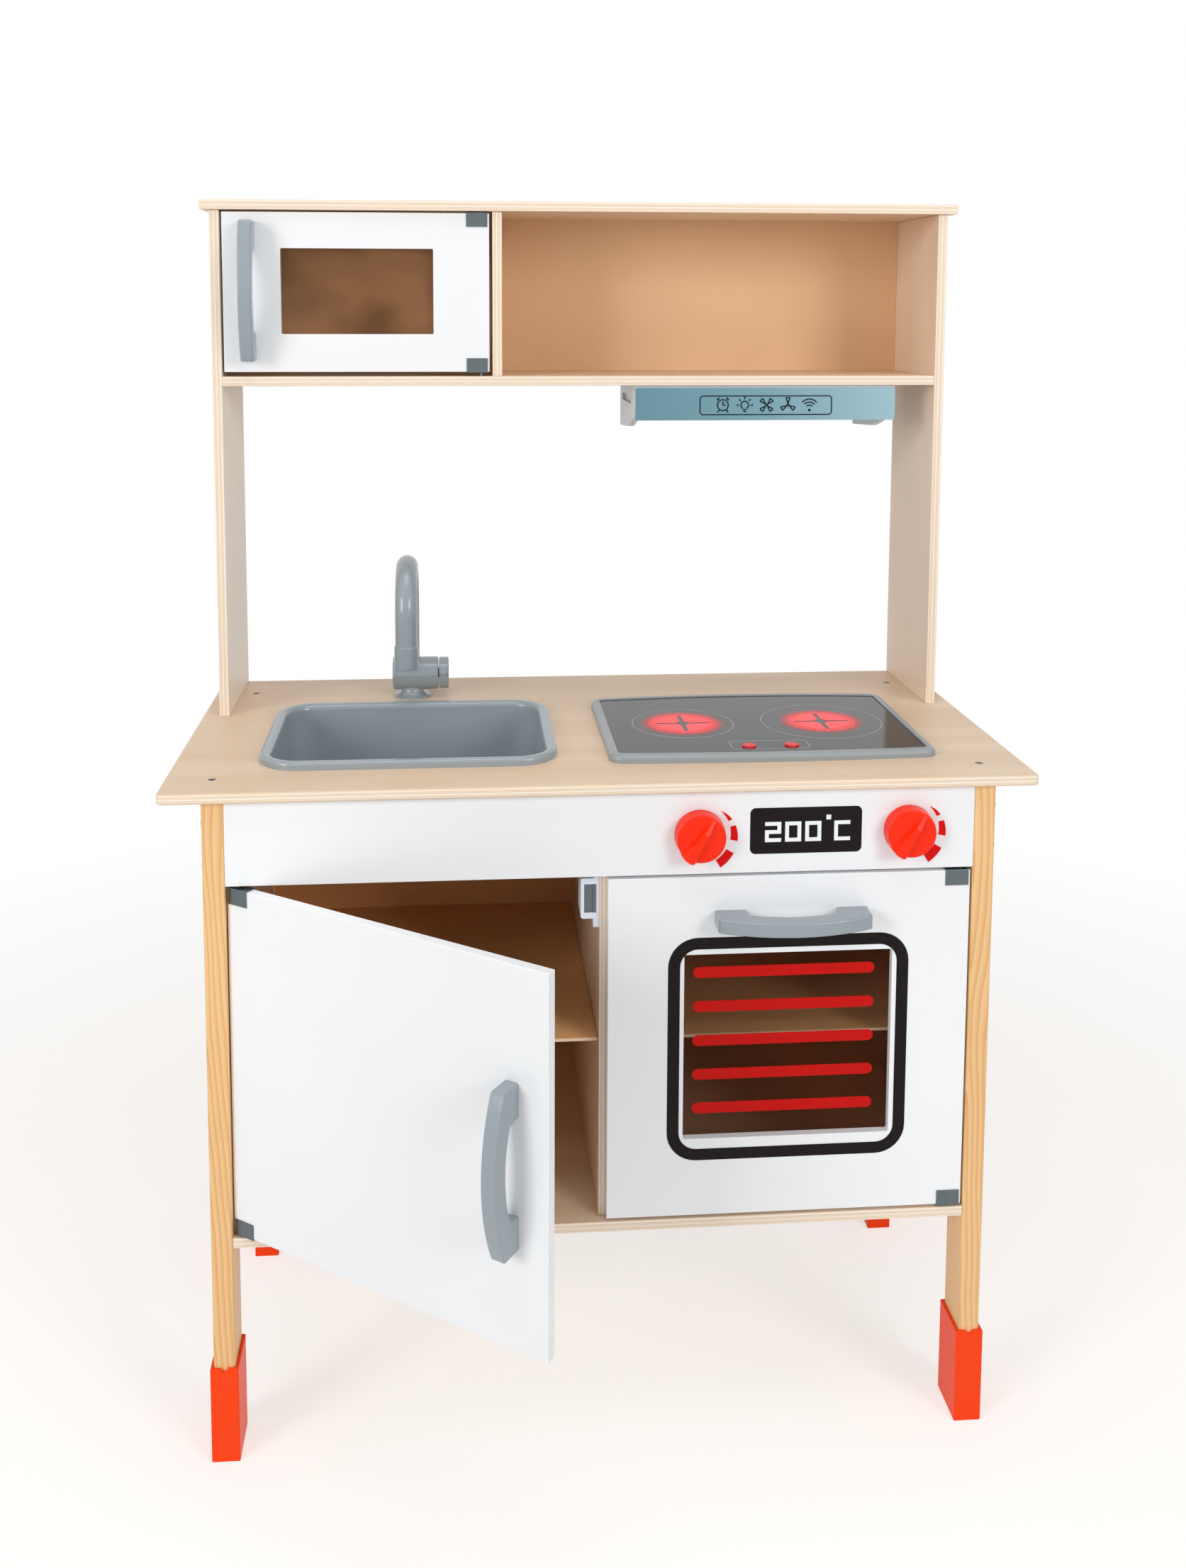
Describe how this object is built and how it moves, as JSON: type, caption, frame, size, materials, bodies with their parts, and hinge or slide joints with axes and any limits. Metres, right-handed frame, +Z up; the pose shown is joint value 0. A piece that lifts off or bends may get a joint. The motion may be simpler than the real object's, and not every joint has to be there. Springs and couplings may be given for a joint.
{
  "type": "play kitchen",
  "caption": "Wooden play kitchen on four legs: a cabinet with a cupboard and an oven, a worktop with a sink, tap and hob, and a hutch above with a microwave, an open bay and a cooker hood.",
  "frame": {"origin": "on the floor, under the middle of the box round the whole kitchen as it stands, its cupboard door ajar", "axes": "+X to the right as a child faces it, +Y from the front to the rear, +Z up"},
  "size_m": [0.72, 0.5332, 1.058],
  "materials": {
    "birch_plywood": "clear matt varnish",
    "pine": "clear satin varnish",
    "beech": "bare, fluted",
    "hardboard": "printed foil, matt",
    "white_board": "white lacquer, satin",
    "orange_plastic": "moulded, semi gloss",
    "red_plastic": "moulded, satin",
    "grey_plastic": "moulded, gloss",
    "light_grey_plastic": "moulded, satin",
    "dark_glass": "polished, near black",
    "black_plastic": "moulded, fine texture",
    "button_plastic": "moulded, gloss",
    "white_plastic": "moulded, satin",
    "circuit_board": "green solder mask",
    "battery_steel": "printed steel can",
    "blue_metal": "metallic lacquer, satin",
    "steel": "zinc plated",
    "smoky_pane": "clear brown sheet"
  },
  "bodies": {
    "frame": {"worktop": "birch_plywood", "hutch_upright_left": "birch_plywood", "hutch_upright_right": "birch_plywood", "hutch_shelf": "birch_plywood", "hutch_divider": "birch_plywood", "hutch_top": "birch_plywood", "cabinet_divider": "birch_plywood", "cabinet_base": "birch_plywood", "side_panel_left": "birch_plywood", "side_panel_right": "birch_plywood", "leg_front_left": "pine", "leg_front_right": "pine", "leg_rear_left": "pine", "leg_rear_right": "pine", "foot_sleeve_front_left": "orange_plastic", "foot_sleeve_front_right": "orange_plastic", "foot_sleeve_rear_left": "orange_plastic", "foot_sleeve_rear_right": "orange_plastic", "cabinet_back": "hardboard", "hutch_back": "hardboard", "cupboard_shelf": "hardboard", "oven_shelf": "hardboard", "control_panel": "white_board", "wooden_pegs": "beech", "frame_screws": "steel", "catch_magnets": "steel", "magnetic_catches": "white_plastic", "sink": "grey_plastic", "tap_body": "grey_plastic", "hob_frame": "light_grey_plastic", "hood_body": "light_grey_plastic", "hob_glass": "dark_glass", "hob_housing": "black_plastic", "battery_cover": "black_plastic", "hob_circuit_board": "circuit_board", "batteries": "battery_steel", "hood_panel": "blue_metal"},
    "cupboard_door_swing": {"cupboard_door": "white_board", "cupboard_handle": "grey_plastic", "cupboard_handle_screws": "steel", "cupboard_hinge_clips": "steel", "cupboard_strike_plate": "steel"},
    "oven_door_swing": {"oven_door": "white_board", "oven_handle": "grey_plastic", "oven_handle_screws": "steel", "oven_hinge_clips": "steel", "oven_strike_plate": "steel", "oven_window": "smoky_pane"},
    "microwave_door_swing": {"microwave_door": "white_board", "microwave_handle": "grey_plastic", "microwave_handle_screws": "steel", "microwave_hinge_clips": "steel", "microwave_strike_plate": "steel", "microwave_window": "smoky_pane"},
    "left_knob_turn": {"left_knob": "red_plastic"},
    "right_knob_turn": {"right_knob": "red_plastic"},
    "hob_button_left_press": {"hob_button_left": "button_plastic"},
    "hob_button_right_press": {"hob_button_right": "button_plastic"},
    "tap_spout_turn": {"tap_spout": "grey_plastic"},
    "tap_knob_turn": {"tap_knob": "grey_plastic"}
  },
  "joints": [
    {"name": "cupboard_door_hinge", "type": "hinge", "parent": "frame", "child": "cupboard_door_swing", "pos_m": [-0.2985, -0.08088, 0.347], "axis": [0, 0, -1], "range_deg": [-35, 75]},
    {"name": "oven_door_hinge", "type": "hinge", "parent": "frame", "child": "oven_door_swing", "pos_m": [0.2985, -0.08088, 0.347], "axis": [0, 0, 1], "range_deg": [0, 110]},
    {"name": "microwave_door_hinge", "type": "hinge", "parent": "frame", "child": "microwave_door_swing", "pos_m": [-0.0965, 0.13862, 0.974], "axis": [0, 0, 1], "range_deg": [0, 110]},
    {"name": "left_knob_spin", "type": "hinge", "parent": "frame", "child": "left_knob_turn", "pos_m": [0.077, -0.08538, 0.531], "axis": [0, -1, 0], "continuous": true},
    {"name": "right_knob_spin", "type": "hinge", "parent": "frame", "child": "right_knob_turn", "pos_m": [0.252, -0.08538, 0.531], "axis": [0, -1, 0], "continuous": true},
    {"name": "hob_button_left_push", "type": "slide", "parent": "frame", "child": "hob_button_left_press", "axis": [0, 0, -1], "range_m": [0, 0.0015], "stiffness_N_per_m": 400, "springref_m": -0.001},
    {"name": "hob_button_right_push", "type": "slide", "parent": "frame", "child": "hob_button_right_press", "axis": [0, 0, -1], "range_m": [0, 0.0015], "stiffness_N_per_m": 400, "springref_m": -0.001},
    {"name": "tap_spout_swivel", "type": "hinge", "parent": "frame", "child": "tap_spout_turn", "pos_m": [-0.168, 0.19662, 0.616], "axis": [0, 0, 1], "range_deg": [-90, 90]},
    {"name": "tap_knob_spin", "type": "hinge", "parent": "frame", "child": "tap_knob_turn", "pos_m": [-0.135, 0.19662, 0.6], "axis": [1, 0, 0], "continuous": true}
  ]
}
